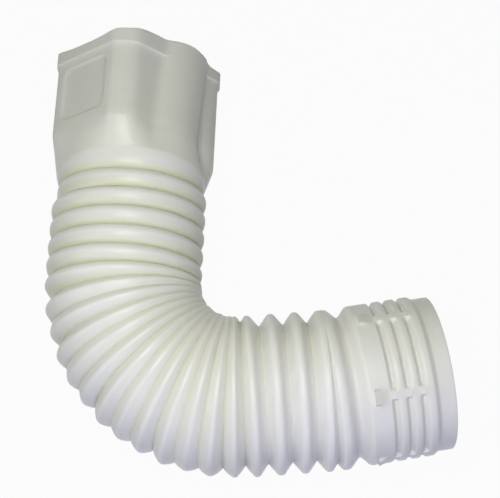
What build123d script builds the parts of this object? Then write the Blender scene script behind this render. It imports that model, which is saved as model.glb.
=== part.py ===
"""Flexible downspout adapter, blow moulded in one piece.

A box socket takes the downspout, a folding bellows makes the bend, and a ribbed round cuff takes the drain pipe.
It lies on its side, as it comes to rest: the bend is level with the ground, the cuff points along +X, +Z is up.
"""
import os
from math import atan2, cos, degrees, pi, radians, sin, sqrt, tan

from build123d import *

# Wall of the moulding, measured outwards from the axis
wall = 1.6

# Bellows: radius over the folds, flat sides to a turn, and the depth of the valleys on the axis of each stretch
fold_radius = 62.0
fold_sides = 32
closed_depth = 4.6
bend_depth = 4.4
open_depth = 9.4

# Pushed-together stretch below the socket
closed_rings = 5
closed_pitch = 15.25
closed_flat = 4.8

# Bend, along the middle of the tube
bend_radius = 87.1
bend_angle = 96.6
bend_rings = 13
bend_entry_pitch = 13.0
bend_exit_depth = 7.2

# Pulled-out stretch before the cuff
open_rings = 4
open_pitch = 18.5
open_flat = 3.6

# Last fold, which has opened on the outside of the bend only and turns the cuff by that much
half_fold_turn = 5.1
half_fold_pitch = 7.2
half_fold_depth = 2.6
half_fold_run = 11.8

# Cuff for the drain pipe: a band with barbs, three grip grooves and a plain lip
neck_radius = 54.0
band_slope = 9.0
band_length = 14.0
band_radius = 61.4
groove_count = 3
groove_width = 6.0
groove_depth = 4.0
rib_width = 4.5
lip_slope = 4.5
lip_length = 11.5
lip_bore = 57.3

# Barbs around the band: ramps that rise away from the lip
barb_count = 6
barb_height = 2.6
barb_length = 9.6
barb_width = 12.5
barb_turn = 20.6

# Socket: a chamfered box for a square downspout, with a bulge on its long sides for a round one
box_long = 115.2
box_short = 94.4
box_chamfer = 12.0
bulge_radius = 54.2
bulge_blend = 6.0
socket_length = 113.3
rim_height = 12.0
rim_step = 2.0

# Shoulder that draws the box in to the bellows, higher on the outside of the bend
collar_radius = 57.4
collar_height = 12.0
collar_flare = 20.0
shoulder_radius = 70.0
shoulder_height = 52.0
shoulder_slant = 3.2

# Plain panel sunk into the short side that faces up
panel_width = 50.0
panel_height = 43.5
panel_depth = 0.8
panel_corner = 5.0
panel_drop = 19.5

UP = Vector(0, 0, 1)


def heading(angle):
    """Level direction, in degrees from +X towards +Y."""
    return Vector(cos(radians(angle)), sin(radians(angle)), 0)


def across(centre, angle):
    """Plane across the tube that faces along a level heading, with its own x pointing up."""
    return Plane(origin=centre, x_dir=UP, z_dir=heading(angle))


def along(centre, angle):
    """Upright plane through the tube's axis: its x runs along a level heading, its y points up."""
    return Plane(origin=centre, x_dir=heading(angle), z_dir=heading(angle - 90))


# Headings of the tube from the socket to the cuff, which points along +X
open_heading = -half_fold_turn
closed_heading = open_heading - bend_angle
socket_heading = closed_heading + 180
bend_step = bend_angle / bend_rings
bend_pitch = 2 * bend_radius * tan(radians(bend_step / 2))


class Valley:
    """Valley between two folds: distance between their tops, depth, turn, and width of the flat tops beside it."""

    def __init__(self, pitch, depth, turn=0.0, flat=0.0):
        self.half = pitch / 2
        self.depth = depth
        self.turn = turn
        self.flat = flat


closed_valley = Valley(closed_pitch, closed_depth, flat=closed_flat)
entry_valley = Valley(bend_entry_pitch, bend_depth, bend_step / 2)
bend_valley = Valley(bend_pitch, bend_depth, bend_step)
exit_valley = Valley(bend_entry_pitch, bend_exit_depth, bend_step / 2)
open_valley = Valley(open_pitch, open_depth, flat=open_flat)
half_fold_valley = Valley(half_fold_pitch, half_fold_depth, half_fold_turn, open_flat)
cuff_valley = Valley(2 * half_fold_run, fold_radius - neck_radius, flat=open_flat)

valleys = [closed_valley] * closed_rings
valleys += [entry_valley] + [bend_valley] * (bend_rings - 1) + [exit_valley]
valleys += [open_valley] * (open_rings - 1) + [half_fold_valley, cuff_valley]

# Walk along the folds from the neck under the socket, to the top of each fold and the valley after it
neck_point = Vector(0, 0, 0)
fold_places = []
place = neck_point
facing = closed_heading
for before, after in zip(valleys[:-1], valleys[1:]):
    place = place + heading(facing) * before.half
    fold_places.append((place, facing, before, after))
    place = place + heading(facing) * after.half
    facing = facing + after.turn
cuff_point = place


def spokes(angle):
    """Directions out from the axis to the corners of a ring."""
    side = heading(angle + 90)
    turns = [radians((number + 0.5) * 360 / fold_sides) for number in range(fold_sides)]
    return [UP * cos(turn) + side * sin(turn) for turn in turns]


def ring(centre, angle, shift, radius):
    """Corners of a fold's edge, square to the axis."""
    return [centre + heading(angle) * shift + spoke * radius for spoke in spokes(angle)]


def valley_ring(centre, angle, valley, radius, way):
    """Corners at the bottom of a valley, where the flank of a fold runs down to the plane midway to the next fold."""
    ahead = heading(angle) * way
    across_valley = heading(angle + way * valley.turn / 2) * way
    slope = valley.depth / (valley.half - valley.flat / 2)
    bottom = centre + ahead * valley.half
    corners = []
    for spoke in spokes(angle):
        edge = centre + ahead * (valley.flat / 2) + spoke * radius
        flank = ahead - spoke * slope
        run = (bottom - edge).dot(across_valley) / flank.dot(across_valley)
        corners.append(edge + flank * run)
    return corners


def bellows_body(inset):
    """Solid inside all the folds, drawn in by the inset: flat panels from valley to top and down to the next valley."""
    top = fold_radius - inset
    first_centre, first_angle, first_valley, _ = fold_places[0]
    rings = [valley_ring(first_centre, first_angle, first_valley, top, -1)]
    for centre, angle, before, after in fold_places:
        rings.append(ring(centre, angle, -before.flat / 2, top))
        if before.flat + after.flat > 0:
            rings.append(ring(centre, angle, after.flat / 2, top))
        rings.append(valley_ring(centre, angle, after, top, 1))
    panels = [Face(Wire.make_polygon(rings[0])), Face(Wire.make_polygon(rings[-1]))]
    for near, far in zip(rings, rings[1:]):
        for this in range(fold_sides):
            other = this - 1
            panels.append(Face(Wire.make_polygon([near[this], near[other], far[other], far[this]])))
    return Solid(Shell(panels))


def cuff_body(inset, overrun=0.0):
    """Solid inside the cuff, drawn in by the inset: band, grip grooves with ribs between them, and lip."""
    crest = band_radius - inset
    points = [(0, 0), (0, neck_radius - inset), (band_slope, crest)]
    station = band_slope + band_length
    for groove in range(groove_count):
        points.append((station, crest))
        points.append((station + groove_width / 2, crest - groove_depth))
        points.append((station + groove_width, crest))
        station += groove_width + rib_width
    lip = lip_bore + wall - inset
    lip_end = station + lip_slope + lip_length + overrun
    points += [(station, crest), (station + lip_slope, lip), (lip_end, lip), (lip_end, 0)]
    with BuildPart() as body:
        with BuildSketch(along(cuff_point, 0)):
            with BuildLine():
                Polyline(*points, close=True)
            make_face()
        revolve(axis=Axis(cuff_point, heading(0)))
    return body.part


def barb(turn):
    """One ramp on the band, steep towards the bellows, turned about the cuff's axis."""
    out = Vector(0, -sin(radians(turn)), cos(radians(turn)))
    start = band_slope + (band_length - barb_length) / 2
    sunk = band_radius * (1 - cos(barb_width / 2 / band_radius)) + wall / 2
    with BuildPart() as ramp:
        with BuildSketch(Plane(origin=cuff_point, x_dir=heading(0), z_dir=heading(0).cross(out))):
            with BuildLine():
                Polyline(
                    (start, band_radius - sunk),
                    (start, band_radius + barb_height),
                    (start + barb_length, band_radius),
                    (start + barb_length, band_radius - sunk),
                    close=True,
                )
            make_face()
        extrude(amount=barb_width / 2, both=True)
    return ramp.part


def socket_place(height):
    """Plane across the socket, so far above the neck."""
    return across(neck_point + heading(socket_heading) * height, socket_heading)


def box_chamfer_at(step):
    """Length of the box's chamfers where its sides stand out by a step."""
    return box_chamfer + step * (2 - sqrt(2))


def box_section(inset, rim=0.0):
    """Outline of the socket on the plane in use: chamfered box, which a rim makes wider, and round bulge, blended."""
    radius = bulge_radius - inset
    step = rim - inset
    with BuildSketch(mode=Mode.PRIVATE) as outline:
        Rectangle(box_long + 2 * step, box_short + 2 * step, rotation=-45)
        chamfer(outline.vertices(), length=box_chamfer_at(step))
        Circle(radius)
        creases = [v for v in outline.vertices() if abs(Vector(v).length - radius) < 0.01]
        fillet(creases, radius=bulge_blend + inset)
    return outline.sketch


def socket_body(inset, overrun=0.0):
    """Solid inside the socket, from the neck to its mouth."""
    rim_start = socket_length - rim_height + inset
    with BuildPart() as funnel:
        with BuildSketch(socket_place(0)):
            Circle(collar_radius - inset)
        slanted = socket_place(shoulder_height)
        with BuildSketch(Plane(origin=slanted.origin, x_dir=UP, z_dir=heading(socket_heading + shoulder_slant))):
            Circle(shoulder_radius - inset)
        with BuildSketch(socket_place(socket_length + overrun)):
            Circle(box_long)
        loft(ruled=True)
    with BuildPart() as body:
        with BuildSketch(socket_place(0)):
            add(box_section(inset))
        extrude(amount=socket_length + overrun)
        add(funnel.part, mode=Mode.INTERSECT)
        with BuildSketch(along(neck_point, socket_heading)):
            with BuildLine():
                Polyline(
                    (0, 0),
                    (0, collar_radius - inset),
                    (collar_height, collar_radius - inset),
                    (collar_height + collar_flare, bulge_radius - inset),
                    (socket_length / 2, bulge_radius - inset),
                    (socket_length / 2, 0),
                    close=True,
                )
            make_face()
        revolve(axis=Axis(neck_point, heading(socket_heading)))
        with BuildSketch(socket_place(rim_start)):
            add(box_section(inset, rim_step))
        extrude(amount=socket_length + overrun - rim_start)
    return body.part


def panel_recess():
    """Shallow plate to sink into the short side of the box that faces up."""
    out = (UP - heading(socket_heading - 90)) * sqrt(0.5)
    height = socket_length - panel_drop - panel_height / 2
    centre = neck_point + heading(socket_heading) * height + out * (box_long / 2)
    with BuildPart() as plate:
        with BuildSketch(Plane(origin=centre, x_dir=heading(socket_heading), z_dir=out)):
            RectangleRounded(panel_height, panel_width, panel_corner)
        extrude(amount=panel_depth, both=True)
    return plate.part


mouth_overrun = 1.0
outer_socket = socket_body(0)
outer_bellows = bellows_body(0)
outer_cuff = cuff_body(0)
inner_socket = socket_body(wall, mouth_overrun)
inner_bellows = bellows_body(wall)
inner_cuff = cuff_body(wall, mouth_overrun)
panel = panel_recess()
barbs = [barb(barb_turn + number * 360 / barb_count) for number in range(barb_count)]

with BuildPart() as socket:
    add(outer_socket)
    add(panel, mode=Mode.SUBTRACT)

with BuildPart() as cuff:
    add(outer_cuff)
    for ramp in barbs:
        add(ramp)

with BuildPart() as inside:
    add(inner_bellows)
    add([inner_socket, inner_cuff], clean=False)

with BuildPart() as adapter:
    add(outer_bellows)
    add([socket.part, cuff.part], clean=False)
    add(inside.part, mode=Mode.SUBTRACT, clean=False)

# It comes to rest on the socket's rim and the folds next to the cuff, which lifts the socket a little
rim_reach = (box_long / 2 + box_short / 2 + 2 * rim_step - box_chamfer_at(rim_step)) * sqrt(0.5)
rim_point = neck_point + heading(socket_heading) * (socket_length - rim_height)
fold_reach = fold_radius * cos(pi / fold_sides)
rest_tilt = degrees(atan2(rim_reach - fold_reach, (rim_point - cuff_point).Y))
adapter.part = adapter.part.rotate(Axis(cuff_point, heading(0)), rest_tilt)

# It lies on the ground at z = 0, with the origin under the middle of its box
box = adapter.part.bounding_box()
ground = Location((-box.center().X, -box.center().Y, -box.min.Z))
adapter.part = adapter.part.moved(ground)
adapter.part.label = "adapter_body"

os.makedirs("parts", exist_ok=True)
export_step(adapter.part, "parts/adapter_body.step")
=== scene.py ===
from math import atan2, ceil, cos, degrees, radians, sin, tan

import bpy
from mathutils import Matrix, Vector


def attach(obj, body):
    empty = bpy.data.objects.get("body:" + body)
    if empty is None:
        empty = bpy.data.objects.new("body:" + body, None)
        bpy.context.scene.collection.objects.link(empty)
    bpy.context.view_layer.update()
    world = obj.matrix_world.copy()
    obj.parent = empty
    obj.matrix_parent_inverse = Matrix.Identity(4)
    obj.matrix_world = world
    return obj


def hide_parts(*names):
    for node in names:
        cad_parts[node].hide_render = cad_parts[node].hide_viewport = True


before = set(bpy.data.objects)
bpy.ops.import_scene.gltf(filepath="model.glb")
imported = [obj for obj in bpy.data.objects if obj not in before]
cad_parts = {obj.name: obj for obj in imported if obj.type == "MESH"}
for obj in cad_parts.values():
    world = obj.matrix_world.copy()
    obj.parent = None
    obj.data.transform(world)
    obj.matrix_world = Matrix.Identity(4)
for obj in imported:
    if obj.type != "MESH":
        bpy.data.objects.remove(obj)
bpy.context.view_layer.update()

# Adapter: one blow-moulded piece of cream-white polyethylene that leads a downspout into a drain pipe.
# A chamfered box socket, a bellows that keeps the bend it is given by hand, and a ribbed round cuff,
# all with the same thin wall. Sizes are in millimetres, in the order in which rain water runs through.
MM = 0.001
UP = Vector((0, 0, 1))
wall = 1.6
closed_heading = -101.7


def level(angle):
    """Level direction, in degrees from +X towards +Y."""
    return Vector((cos(radians(angle)), sin(radians(angle)), 0))


def spoke(angle, turn):
    """Direction out from the tube's axis: turn 0 is up, and turn 90 is the inside of the bend."""
    return UP * cos(radians(turn)) + level(angle + 90) * sin(radians(turn))


def ease(share):
    """Smooth step from 0 to 1."""
    share = min(max(share, 0.0), 1.0)
    return share * share * (3 - 2 * share)


# Turns at which the moulding has a corner, with even steps between them
box_long, box_short, box_chamfer = 115.2, 94.4, 12.0
half_long, half_short = box_long / 2, box_short / 2
box_turn = -42.8
bulge_joins = (20.0, 27.0, 77.0, 82.0)
panel_width, panel_height, panel_drop, panel_depth = 50.0, 43.5, 19.5, 1.3
panel_slant = 0.8
barb_count, barb_turn, barb_width = 6, -20.6, 12.5
band_radius = 61.4
bridge_edge, bridge_fade = 4.4, 1.8
widest_step = 5.0
chamfer_ends = [
    degrees(atan2(half_short - box_chamfer, half_long)),
    degrees(atan2(half_short, half_long - box_chamfer)),
]
panel_edge = degrees(atan2(panel_width / 2, half_long))
barb_edge = degrees(barb_width / 2 / band_radius)
barb_edges = (bridge_edge - bridge_fade, bridge_edge - bridge_fade / 2, bridge_edge, barb_edge)
corners = []
for sign in (-1, 1):
    for side in (0, 180):
        corners += [box_turn + side + sign * end for end in chamfer_ends]
    corners += [box_turn + sign * (panel_edge + step) for step in (-panel_slant, 0.0, panel_slant)]
    for number in range(barb_count):
        middle = barb_turn + number * 360 / barb_count
        corners += [middle + sign * edge for edge in barb_edges]
corners += [join + side for join in bulge_joins for side in (0, 180)]
corners = sorted({round(turn % 360, 2) for turn in corners})
turns = []
for start, end in zip(corners, corners[1:] + [corners[0] + 360]):
    steps = max(1, ceil((end - start) / widest_step))
    turns += [start + (end - start) * step / steps for step in range(steps)]

outer_rings = []
inner_rings = []
ring_shades = []


def add_ring(centre, angle, reaches, shades, kept_inside):
    """One ring of the outer skin, its painted shades from painted highlight 0 to painted shade 1, and where
    kept, its inner match.
    """
    columns = [(spoke(angle, turn), reach, middle) for turn, reach, middle in zip(turns, reaches, centre)]
    outer_rings.append([spot * reach + middle for spot, reach, middle in columns])
    ring_shades.append(shades)
    if kept_inside:
        inner_rings.append([spot * (reach - wall) + middle for spot, reach, middle in columns])


# Socket: box with a round bulge on its long sides, drawn in to a bead, with a rim round the box's mouth
socket_length, rim_height, rim_step, rim_slant, mouth_round = 113.3, 12.0, 1.7, 1.0, 0.6
box_sharpness = 52
panel_corner, panel_bevel = 5.0, 1.2
panel_middle = socket_length - panel_drop - panel_height / 2
bead_radius, bead_height, bead_least, bead_roll = 59.8, 16.0, 4.0, 10.0
bead_peak, bead_drop = 8.0, 10.0
shoulder_height, shoulder_fall, fall_turn = 40.0, 14.0, 125.0
shoulder_blend, bead_blend = 0.05, 0.03
bulge_radius, bulge_out, bulge_along, bulge_lean, bulge_blend = 33.0, 25.0, 1.5, 6.5, 1.2
first_valley_radius = 55.8


def box_reach(turn, step):
    """Distance from the axis to the chamfered box, which a rim steps out."""
    along = abs(cos(radians(turn - box_turn)))
    aside = abs(sin(radians(turn - box_turn)))
    cut = half_long + half_short - box_chamfer + 2**0.5 * step
    sides = [along / (half_long + step), aside / (half_short + step), (along + aside) / cut]
    return sum(share**box_sharpness for share in sides) ** (-1 / box_sharpness)


def merge(first, second, blend):
    """The larger of two reaches, rounded where they cross. A blend below 0 gives the smaller."""
    gap = first - second
    half_gap = (gap * gap + blend * blend) ** 0.5 / 2
    return (first + second) / 2 + (half_gap if blend > 0 else -half_gap)


def near_turn(turn, middle, begins, whole):
    """Share from 0 to 1 near a turn, which begins and is whole where the angle to it has these cosines."""
    return ease((cos(radians(turn - middle)) - begins) / (whole - begins))


def panel_share(turn, height):
    """1 on the sunk panel of the short side that faces up, 0 off it and on the other sides."""
    if cos(radians(turn - box_turn)) < 0.5:
        return 0.0
    aside = abs(half_long * tan(radians(turn - box_turn)))
    over = max(aside - panel_width / 2 + panel_corner, 0.0)
    above = max(abs(height - panel_middle) - panel_height / 2 + panel_corner, 0.0)
    return ease((panel_corner - (over * over + above * above) ** 0.5) / panel_bevel + 0.5)


def bulge_reach(turn, height):
    """Distance from the axis to the bulge, which leans to the inside of the bend towards the mouth."""
    along = bulge_along + bulge_lean * (height - shoulder_height) / (socket_length - shoulder_height)
    spread = radians(turn - box_turn - 90)
    near = bulge_out * cos(spread) + along * sin(spread)
    rest = bulge_radius**2 - bulge_out**2 - along**2 + near**2
    return abs(near) + rest**0.5 if rest > 0 else 0.0


def bead_top(turn):
    """Height of the bead's upper edge, which drops towards the sides of the tube."""
    return max(bead_height - bead_drop * (1 - cos(radians(turn - bead_peak))) ** 1.5, bead_least)


def bead_reach(height):
    """Distance from the axis to the bead, which rolls down into the first valley."""
    low = min(max(1 - height / bead_roll, 0.0), 1.0)
    return first_valley_radius + (bead_radius - first_valley_radius) * (1 - low * low) ** 0.5


def socket_reach(turn, height):
    """Distance from the axis to the socket's wall, so far above the neck."""
    shoulder = shoulder_height - shoulder_fall * near_turn(turn, fall_turn, 0.5, 0.87)
    rim = ease((height - socket_length + rim_height) / rim_slant + 0.5)
    box = box_reach(turn, rim_step * rim) - panel_depth * panel_share(turn, height)
    straight = merge(box, bulge_reach(turn, max(height, shoulder)), bulge_blend)
    share = (height - bead_top(turn)) / (shoulder - bead_top(turn))
    share = merge(merge(share, 1.0, -shoulder_blend), 0.0, bead_blend)
    return bead_reach(height) + (straight - bead_reach(height)) * share


def mouth_dip(turn):
    """How far the mouth's trimmed edge sags, on the short side that faces up and at a corner, or rises."""
    side_dip, corner_dip, bulge_rise = 2.7, 2.4, 2.4
    corner_turn, bulge_turn = 98.0, 32.0
    dip = side_dip * near_turn(turn, box_turn, 0.8, 1.0)
    dip += corner_dip * near_turn(turn, corner_turn, 0.9, 1.0)
    return dip - bulge_rise * near_turn(turn, bulge_turn, 0.82, 0.98)


# Rows of the socket's mesh, by height above the neck, close together where the wall turns
rim_drops = (0.0, 0.5, 1.8, 6.0, 10.4, 11.3, 11.7, 12.0, 12.3, 12.8)
panel_top, panel_foot = panel_middle + panel_height / 2, panel_middle - panel_height / 2
edge_row, panel_row, flank_row, flank_top = 0.8, 4.0, 2.1, 35.4
heights = [socket_length - drop for drop in rim_drops]
for edge in (panel_top, panel_foot):
    heights += [edge + edge_row * (2 - step) for step in range(10)]
heights += [panel_top - edge_row * 12 - panel_row * step for step in range(8)]
heights += [43.4, 42.3, 41.4, 40.7, 40.0, 39.3, 38.5, 37.4]
heights += [flank_top - flank_row * step for step in range(9)]
heights += [17.4, 16.7, 16.0, 15.3, 14.2, 12.4, 10.6, 9.0, 7.6, 6.2, 5.0, 3.9, 2.9, 2.0, 1.2, 0.6, 0.2]
heights.sort(reverse=True)

# Painted shade: middling on the socket's wall, a white painted highlight on the bead, darkest below the bead
socket_shade, roll_shade = 0.4, 0.95
roll_height, bead_fade = 9.0, 2.0
for height in heights:
    rim_share = max((height - socket_length + rim_height) / rim_height, 0.0)
    middles = [level(closed_heading) * (mouth_dip(turn) * rim_share - height) for turn in turns]
    edge_round = mouth_round if height == socket_length else 0.0
    reaches = [socket_reach(turn, height) - edge_round for turn in turns]
    shades = []
    for turn in turns:
        bead = ease((bead_top(turn) - height) / bead_fade + 0.5)
        shades.append(socket_shade * (1 - bead) + roll_shade * ease(1 - height / roll_height))
    add_ring(middles, closed_heading, reaches, shades, True)

# Bellows: folds pushed together below the socket, fanned out round the bend and pulled open before the cuff
fold_radius = 61.6
bend_angle, bend_steps, bend_radius = 96.6, 13, 87.1
bend_turn = bend_angle / bend_steps
half_fold_turn = 5.1
closed_half = 7.625


class Valley:
    """Valley between two folds: half the way between their tops, depth, turn, flat tops and roundness."""

    def __init__(self, half, depth, turn, flat, roundness):
        self.half = half
        self.depth = depth
        self.turn = turn
        self.flat = flat
        self.roundness = roundness


bend_half = bend_radius * tan(radians(bend_turn / 2))
socket_valley = Valley(closed_half, fold_radius - first_valley_radius, turn=0.0, flat=0.0, roundness=0.9)
closed_valley = Valley(closed_half, depth=4.8, turn=0.0, flat=0.0, roundness=1.0)
entry_valley = Valley(half=6.5, depth=4.6, turn=bend_turn / 2, flat=0.0, roundness=0.9)
bend_valley = Valley(bend_half, depth=4.4, turn=bend_turn, flat=2.2, roundness=0.45)
exit_valley = Valley(half=6.5, depth=7.2, turn=bend_turn / 2, flat=2.2, roundness=0.25)
open_valley = Valley(half=9.25, depth=9.2, turn=0.0, flat=4.0, roundness=0.0)
half_fold_valley = Valley(half=3.6, depth=2.6, turn=half_fold_turn, flat=3.6, roundness=0.1)
cuff_valley = Valley(half=11.8, depth=7.6, turn=0.0, flat=3.6, roundness=-1.0)
valleys = [socket_valley] + [closed_valley] * 4 + [entry_valley]
valleys += [bend_valley] * (bend_steps - 1) + [exit_valley]
valleys += [open_valley] * 3 + [half_fold_valley, cuff_valley]

# Numbers of the first fold in the bend and the first one after it
bend_start, open_start = 6, 18


def sink(share, flat, roundness):
    """How far down a fold is, 0 on its top and 1 in the valley, at a share of the way down."""
    slack = 0.1
    if share < flat - slack:
        straight = 0.0
    elif share < flat + slack:
        straight = (share - flat + slack) ** 2 / (4 * slack) / (1 - flat)
    else:
        straight = (share - flat) / (1 - flat)
    if roundness < 0:
        return ease(straight)
    # A rolled fold follows a circle almost down to its widest point
    arc = 0.96
    rolled = (1 - (1 - (arc * share) ** 2) ** 0.5) / (1 - (1 - arc**2) ** 0.5)
    return rolled * roundness + straight * (1 - roundness)


def valley_unevenness(number):
    """Share of its depth that a valley in the bend has lost by being pulled open."""
    lost, beat, first_beat = 0.22, 2.1, 0.6
    if not bend_start < number < open_start:
        return 0.0
    return lost * (1 + sin(number * beat + first_beat))


def fold_lean(number):
    """How far a fold rolls over towards the socket: those pushed together do, a few after them less."""
    closed_lean, fade_count = 1.2, 4
    return closed_lean * min(max(1 - (number - bend_start + 1) / fade_count, 0.0), 1.0)


def fold_drop(number, turn):
    """How far a fold's top lies below its full height at a turn."""
    held_back, unevenness, beat = 1.6, 0.4, 2.4
    if number == 0:
        # The socket holds the first fold back on the outside of the bend
        return held_back * (1 - sin(radians(turn)))
    if bend_start <= number < open_start:
        # No two folds of the bend stand equally proud
        return unevenness * (1 + sin(number * beat + 2 * radians(turn)))
    return 0.0


def fold_shade(number, way, share):
    """Painted shade on a flank: a painted highlight at the top, and darker down to the valley."""
    if number >= open_start:
        top, bottom = 0.1, 0.35
        return top + bottom * share**4
    if number >= bend_start:
        flank, bottom, highlight_share, fade = 0.34, 0.3, 0.06, 0.2
        return flank * ease((share - highlight_share) / fade) + bottom * share**4
    if way > 0:
        flank, bottom, highlight_share, fade = 0.55, 0.45, 0.05, 0.35
        return flank * ease((share - highlight_share) / fade) + bottom * share**3
    bottom = 0.7
    return bottom * share**5


def fold_ring(number, centre, angle, valley, way, share, kept_inside):
    """Ring on one flank of a fold, at a share of the way from its top to the valley ahead or behind."""
    ahead = level(angle) * way
    across = level(angle + way * valley.turn / 2) * way
    slope = valley.depth / (valley.half - valley.flat / 2)
    bottom = centre + ahead * valley.half
    shrink = 1 - valley_unevenness(number if way < 0 else number + 1)
    middles = []
    reaches = []
    for turn in turns:
        spot = spoke(angle, turn)
        edge = centre + ahead * (valley.flat / 2) + spot * fold_radius
        flank = ahead - spot * slope
        run = (bottom - edge).dot(across) / flank.dot(across)
        length = valley.flat / 2 + run
        low = fold_drop(number, turn)
        down = low + (slope * run * shrink - low) * sink(share, valley.flat / 2 / length, valley.roundness)
        lean = fold_lean(number) * (1 - share) * length / valley.half
        middles.append(centre + ahead * (share * length) - level(angle) * lean)
        reaches.append(fold_radius - down)
    shade = fold_shade(number, way, share)
    add_ring(middles, angle, reaches, [shade] * len(turns), kept_inside)


shares = [0.0, 0.15, 0.3, 0.46, 0.61, 0.75, 0.87, 0.95, 0.985, 1.0]
kept_shares = (0.0, 0.46, 0.87, 1.0)
place = Vector((0, 0, 0))
facing = closed_heading
for number, (before, after) in enumerate(zip(valleys[:-1], valleys[1:])):
    place = place + level(facing) * before.half
    for share in reversed(shares[1:-1]):
        fold_ring(number, place, facing, before, -1, share, share in kept_shares)
    for share in shares:
        fold_ring(number, place, facing, after, 1, share, share in kept_shares)
    place = place + level(facing) * after.half
    facing = facing + after.turn
cuff_point = place

# Cuff: band with six barbs, three grip grooves that short bridges cross, and a plain lip for the pipe
neck_radius, neck_round, band_start, band_length = 54.0, 0.4, 9.0, 14.0
groove_count, groove_width, groove_depth, groove_round, rib_width = 3, 6.0, 3.0, 0.4, 4.5
lip_slope, lip_length, lip_radius, lip_round = 4.5, 11.5, 58.9, 0.45
barb_height, barb_length, barb_face = 2.7, 9.6, 0.02
bridge_fill = 1.06
barb_start = band_start + (band_length - barb_length) / 2
barb_end = barb_start + barb_length
groove_pitch = groove_width + rib_width
groove_starts = [band_start + band_length + groove * groove_pitch for groove in range(groove_count)]
lip_start = band_start + band_length + groove_count * groove_pitch
cuff_length = lip_start + lip_slope + lip_length


def groove_share(station):
    """1 on the floor of a grip groove, 0 on the band and the ribs."""
    reach = groove_width / 2 + groove_round
    for start in groove_starts:
        offset = abs(station - start - groove_width / 2)
        if offset < reach:
            return ease((reach - offset) / (reach - groove_round / 2))
    return 0.0


def near_barb(turn, edge, fade):
    """1 between the sides of a barb or bridge, 0 away from it."""
    spacing = 360 / barb_count
    offset = abs((turn - barb_turn + spacing / 2) % spacing - spacing / 2)
    return ease((edge - offset) / fade)


def cuff_reach(turn, station):
    """Distance from the axis to the cuff's wall, so far from its neck."""
    if station < band_start:
        rise = ease((station + neck_round) / (band_start + neck_round / 2))
        return neck_radius + (band_radius - neck_radius) * rise
    if station > lip_start:
        return band_radius + (lip_radius - band_radius) * ease((station - lip_start) / lip_slope)
    groove = groove_share(station) * (1 - bridge_fill * near_barb(turn, bridge_edge, bridge_fade))
    reach = band_radius - groove_depth * groove
    ramp = 1 - (station - barb_start) / barb_length
    if 0 <= ramp <= 1:
        reach += barb_height * ramp * near_barb(turn, barb_edge, barb_edge - bridge_edge)
    return reach


# Rows of the cuff's mesh, by distance from its neck, close together where the wall turns
neck_row = 0.9
groove_rows = (-0.4, 0.2, 0.8, 1.4, 2.1, 3.0, 3.9, 4.6, 5.2, 5.8, 6.4, groove_width + rib_width / 2)
slope_shares = (-0.06, 0.1, 0.3, 0.5, 0.7, 0.9, 1.1)
stations = [neck_row * step for step in range(1, 11)] + [9.6, 10.6, barb_start - barb_face, barb_start]
stations += [13.6, 16.0, 18.4, barb_end, 22.2]
for start in groove_starts:
    stations += [start + step for step in groove_rows]
stations += [lip_start + lip_slope * share for share in slope_shares]
stations += [lip_start + lip_slope + 4.5, cuff_length - 1.2, cuff_length - 0.35, cuff_length]

# Painted shade in the grooves and on the barbs, and a painted highlight on the bridges
cuff_shade, groove_shade, bridge_highlight, barb_shade, barb_fade = 0.26, 0.12, 0.26, 0.16, 0.5
for station in stations:
    middle = cuff_point + level(0) * station
    edge_round = lip_round if station == cuff_length else 0.0
    reaches = [cuff_reach(turn, station) - edge_round for turn in turns]
    shades = []
    for turn in turns:
        bridge = groove_share(station) * near_barb(turn, bridge_edge, bridge_fade)
        barb = near_barb(turn, barb_edge, barb_fade) if barb_start <= station <= barb_end else 0.0
        cuff_painted_shade = groove_shade * groove_share(station) + barb_shade * barb
        shades.append(cuff_shade + cuff_painted_shade - bridge_highlight * bridge)
    add_ring([middle] * len(turns), 0, reaches, shades, True)

# Both skins in one closed mesh, turned to rest on the socket's rim and the folds next to the cuff
rest_tilt = 1.193
cuff_place = Vector((76.055, -122.721, 61.814))
inside_shade = 0.5
sharp_angle = 42
lay = Matrix.Rotation(radians(rest_tilt), 3, "X")
loop = outer_rings + inner_rings[::-1]
count = len(turns)
ring_shades += [[inside_shade] * count] * len(inner_rings)
vertices = [(lay @ (point - cuff_point) + cuff_place) * MM for ring in loop for point in ring]
faces = []
for row in range(len(loop)):
    near = row * count
    far = (row + 1) % len(loop) * count
    for column in range(count):
        beside = (column + 1) % count
        faces.append((near + column, near + beside, far + beside, far + column))
adapter_mesh = bpy.data.meshes.new("adapter")
adapter_mesh.from_pydata(vertices, [], faces)

# The way round, the way along in centimetres and the shade are kept for the finish
centimetre = 10.0
way_round = []
travel = 0.0
for row, ring in enumerate(loop):
    if row:
        travel += sum((a - b).length for a, b in zip(ring, loop[row - 1])) / count
    for turn in turns:
        way_round += [cos(radians(turn)), sin(radians(turn)), travel / centimetre]
adapter_mesh.attributes.new("way_round", "FLOAT_VECTOR", "POINT")
adapter_mesh.attributes.new("shade", "FLOAT", "POINT")
adapter_mesh.attributes["way_round"].data.foreach_set("vector", way_round)
adapter_mesh.attributes["shade"].data.foreach_set("value", [mark for ring in ring_shades for mark in ring])
for face in adapter_mesh.polygons:
    face.use_smooth = True
adapter_mesh.set_sharp_from_angle(angle=radians(sharp_angle))
adapter = bpy.data.objects.new("adapter", adapter_mesh)
bpy.context.collection.objects.link(adapter)

white_plastic = bpy.data.materials.new("white_plastic")
white_plastic.use_nodes = True
nodes = white_plastic.node_tree.nodes
links = white_plastic.node_tree.links
plastic = nodes["Principled BSDF"]
plastic.inputs["IOR"].default_value = 1.51
plastic.inputs["Specular IOR Level"].default_value = 0.3
plastic.inputs["Subsurface Weight"].default_value = 0.22
plastic.inputs["Subsurface Radius"].default_value = (1.0, 0.97, 0.8)
plastic.inputs["Subsurface Scale"].default_value = 0.005

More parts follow.
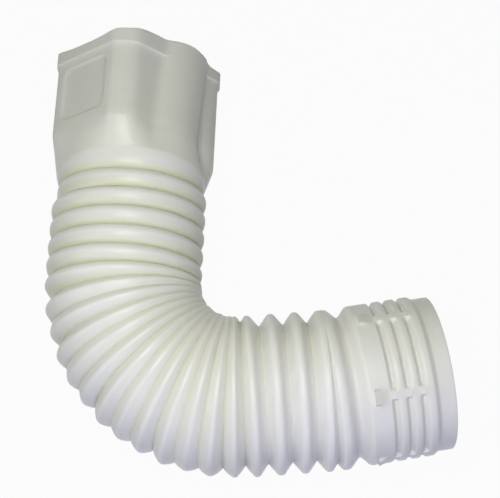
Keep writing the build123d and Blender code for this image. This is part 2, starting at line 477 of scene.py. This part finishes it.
position = nodes.new("ShaderNodeTexCoord")
round_node = nodes.new("ShaderNodeAttribute")
round_node.attribute_name = "way_round"
shade_node = nodes.new("ShaderNodeAttribute")
shade_node.attribute_name = "shade"

# Colour: a painted highlight in white on the tops of the folds, cream on the flanks and painted olive shade
# in the valleys, yellower in patches, and a painted shade that makes the socket greyer
painted_highlight_white, cream = (0.93, 0.93, 0.92, 1), (0.87, 0.87, 0.84, 1)
deep_cream, valley_shade_olive = (0.83, 0.84, 0.76, 1), (0.73, 0.75, 0.58, 1)
shade_colour = nodes.new("ShaderNodeValToRGB")
shade_colour.color_ramp.elements[0].position = 0.0
shade_colour.color_ramp.elements[0].color = painted_highlight_white
shade_colour.color_ramp.elements[1].position = 1.0
shade_colour.color_ramp.elements[1].color = valley_shade_olive
for spot, colour in ((0.28, cream), (0.55, deep_cream)):
    shade_colour.color_ramp.elements.new(spot).color = colour
links.new(shade_node.outputs["Fac"], shade_colour.inputs["Fac"])
patches = nodes.new("ShaderNodeTexNoise")
patches.inputs["Scale"].default_value = 9.0
patches.inputs["Detail"].default_value = 5.0
links.new(position.outputs["Object"], patches.inputs["Vector"])
yellower, unchanged = (0.95, 0.95, 0.90, 1), (1, 1, 1, 1)
patch_colour = nodes.new("ShaderNodeValToRGB")
patch_colour.color_ramp.elements[0].position = 0.32
patch_colour.color_ramp.elements[0].color = yellower
patch_colour.color_ramp.elements[1].position = 0.68
patch_colour.color_ramp.elements[1].color = unchanged
links.new(patches.outputs["Fac"], patch_colour.inputs["Fac"])
patched = nodes.new("ShaderNodeMix")
patched.data_type = "RGBA"
patched.blend_type = "MULTIPLY"
patched.inputs["Factor"].default_value = 1.0
links.new(shade_colour.outputs["Color"], patched.inputs["A"])
links.new(patch_colour.outputs["Color"], patched.inputs["B"])
# Painted shade: the socket, up to 6.6 to 8.4 cm along from the mouth, is made greyer
socket_shade_grey = (0.88, 0.88, 0.87, 1)
along = nodes.new("ShaderNodeSeparateXYZ")
links.new(round_node.outputs["Vector"], along.inputs["Vector"])
socket_shade_mask = nodes.new("ShaderNodeMapRange")
socket_shade_mask.inputs["From Min"].default_value = 6.6
socket_shade_mask.inputs["From Max"].default_value = 8.4
socket_shade_mask.inputs["To Min"].default_value = 1.0
socket_shade_mask.inputs["To Max"].default_value = 0.0
links.new(along.outputs["Z"], socket_shade_mask.inputs["Value"])
socket_shaded_colour = nodes.new("ShaderNodeMix")
socket_shaded_colour.data_type = "RGBA"
socket_shaded_colour.blend_type = "MULTIPLY"
socket_shaded_colour.inputs["B"].default_value = socket_shade_grey
links.new(socket_shade_mask.outputs["Result"], socket_shaded_colour.inputs["Factor"])
links.new(patched.outputs["Result"], socket_shaded_colour.inputs["A"])
links.new(socket_shaded_colour.outputs["Result"], plastic.inputs["Base Color"])

# Surface: flow lines left by the mould run round the tube, over a fine pebble
flow_lines = nodes.new("ShaderNodeTexNoise")
flow_lines.inputs["Scale"].default_value = 5.0
flow_lines.inputs["Detail"].default_value = 4.0
stretch = nodes.new("ShaderNodeMapping")
stretch.inputs["Scale"].default_value = (0.5, 0.5, 2.2)
links.new(round_node.outputs["Vector"], stretch.inputs["Vector"])
links.new(stretch.outputs["Vector"], flow_lines.inputs["Vector"])
pebble = nodes.new("ShaderNodeTexNoise")
pebble.inputs["Scale"].default_value = 420.0
pebble.inputs["Detail"].default_value = 2.0
links.new(position.outputs["Object"], pebble.inputs["Vector"])
flow_bump = nodes.new("ShaderNodeBump")
flow_bump.inputs["Strength"].default_value = 0.16
flow_bump.inputs["Distance"].default_value = 0.0006
links.new(flow_lines.outputs["Fac"], flow_bump.inputs["Height"])
pebble_bump = nodes.new("ShaderNodeBump")
pebble_bump.inputs["Strength"].default_value = 0.08
pebble_bump.inputs["Distance"].default_value = 0.0003
links.new(pebble.outputs["Fac"], pebble_bump.inputs["Height"])
links.new(flow_bump.outputs["Normal"], pebble_bump.inputs["Normal"])
links.new(pebble_bump.outputs["Normal"], plastic.inputs["Normal"])
scuffs = nodes.new("ShaderNodeMapRange")
scuffs.inputs["From Min"].default_value = 0.3
scuffs.inputs["From Max"].default_value = 0.7
scuffs.inputs["To Min"].default_value = 0.26
scuffs.inputs["To Max"].default_value = 0.38
links.new(flow_lines.outputs["Fac"], scuffs.inputs["Value"])
links.new(scuffs.outputs["Result"], plastic.inputs["Roughness"])

adapter_mesh.materials.append(white_plastic)
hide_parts("adapter_body")
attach(adapter, "root")

# Floor: a plain table top covered with matt white paper, on which the adapter lies loose.
# It is seen as white, with the adapter's shadow on it, and throws little light back.
floor_reach = 3.0
floor_corners = [(x * floor_reach, y * floor_reach, 0) for x, y in ((-1, -1), (1, -1), (1, 1), (-1, 1))]
floor_mesh = bpy.data.meshes.new("floor")
floor_mesh.from_pydata(floor_corners, [], [(0, 1, 2, 3)])
floor = bpy.data.objects.new("floor", floor_mesh)
bpy.context.collection.objects.link(floor)


def plain_view(tree):
    """1 for rays from the camera, also by way of gloss or glass, and 0 for light between surfaces."""
    rays = tree.nodes.new("ShaderNodeLightPath")
    seen = rays.outputs["Is Camera Ray"]
    for kind in ("Is Glossy Ray", "Is Transmission Ray"):
        either = tree.nodes.new("ShaderNodeMath")
        either.operation = "MAXIMUM"
        tree.links.new(seen, either.inputs[0])
        tree.links.new(rays.outputs[kind], either.inputs[1])
        seen = either.outputs["Value"]
    return seen


paper = bpy.data.materials.new("paper")
paper.use_nodes = True
nodes = paper.node_tree.nodes
links = paper.node_tree.links
matte = nodes["Principled BSDF"]
matte.inputs["Base Color"].default_value = (0.3, 0.3, 0.29, 1)
matte.inputs["Roughness"].default_value = 0.9
glow = nodes.new("ShaderNodeEmission")
glow.inputs["Strength"].default_value = 1.0
share_seen = nodes.new("ShaderNodeMath")
share_seen.operation = "MULTIPLY"
share_seen.inputs[1].default_value = 0.96
links.new(plain_view(paper.node_tree), share_seen.inputs[0])
blend = nodes.new("ShaderNodeMixShader")
links.new(share_seen.outputs["Value"], blend.inputs["Fac"])
links.new(matte.outputs["BSDF"], blend.inputs[1])
links.new(glow.outputs["Emission"], blend.inputs[2])
links.new(blend.outputs["Shader"], nodes["Material Output"].inputs["Surface"])
floor_mesh.materials.append(paper)

# Light: a soft lamp low over the bend, a cool window on the near side and a second one on the left,
# in a dim room with green-grey walls that is seen as plain white.
room = bpy.data.worlds.new("room")
room.use_nodes = True
nodes = room.node_tree.nodes
links = room.node_tree.links
dim = nodes["Background"]
dim.inputs["Color"].default_value = (0.80, 0.84, 0.66, 1)
dim.inputs["Strength"].default_value = 0.06
plain = nodes.new("ShaderNodeBackground")
plain.inputs["Color"].default_value = (1, 1, 1, 1)
plain.inputs["Strength"].default_value = 1.0
blend = nodes.new("ShaderNodeMixShader")
links.new(plain_view(room.node_tree), blend.inputs["Fac"])
links.new(dim.outputs["Background"], blend.inputs[1])
links.new(plain.outputs["Background"], blend.inputs[2])
links.new(blend.outputs["Shader"], nodes["World Output"].inputs["Surface"])
bpy.context.scene.world = room


def soft_lamp(name, spot, aim, width, power, colour):
    """Soft square light that faces a point on the adapter."""
    lamp = bpy.data.lights.new(name, "AREA")
    lamp.shape = "SQUARE"
    lamp.size = width
    lamp.energy = power
    lamp.color = colour
    holder = bpy.data.objects.new(name, lamp)
    holder.location = spot
    holder.rotation_euler = (Vector(aim) - Vector(spot)).to_track_quat("-Z", "Y").to_euler()
    bpy.context.collection.objects.link(holder)


bend_middle, adapter_middle = (-0.05, -0.04, 0.06), (0.0, -0.05, 0.06)
warm, lilac, cool = (1.0, 1.0, 0.92), (0.60, 0.60, 1.0), (0.92, 0.92, 1.0)
soft_lamp("over_bend", (-0.05, -0.10, 0.75), bend_middle, width=0.34, power=3.0, colour=warm)
soft_lamp("near_window", (0.05, -1.30, 0.55), adapter_middle, width=0.9, power=5.7, colour=lilac)
soft_lamp("left_window", (-1.20, -0.35, 0.75), adapter_middle, width=0.8, power=3.7, colour=cool)

# Camera: above the table on the near side, a little to the left, looking steeply down at the adapter
# through a long lens.
target = Vector((19.9, 0.3, 62.2)) * MM
camera_turn, camera_rise, camera_distance = radians(9.3), radians(71), 0.96
back = Vector((-sin(camera_turn) * cos(camera_rise), -cos(camera_turn) * cos(camera_rise), sin(camera_rise)))
camera_data = bpy.data.cameras.new("camera")
camera_data.sensor_width = 36.0
camera_data.lens = 86.4
camera = bpy.data.objects.new("camera", camera_data)
camera.location = target + back * camera_distance
camera.rotation_euler = (-back).to_track_quat("-Z", "Y").to_euler()
bpy.context.collection.objects.link(camera)
bpy.context.scene.camera = camera
bpy.context.scene.view_settings.view_transform = "Standard"
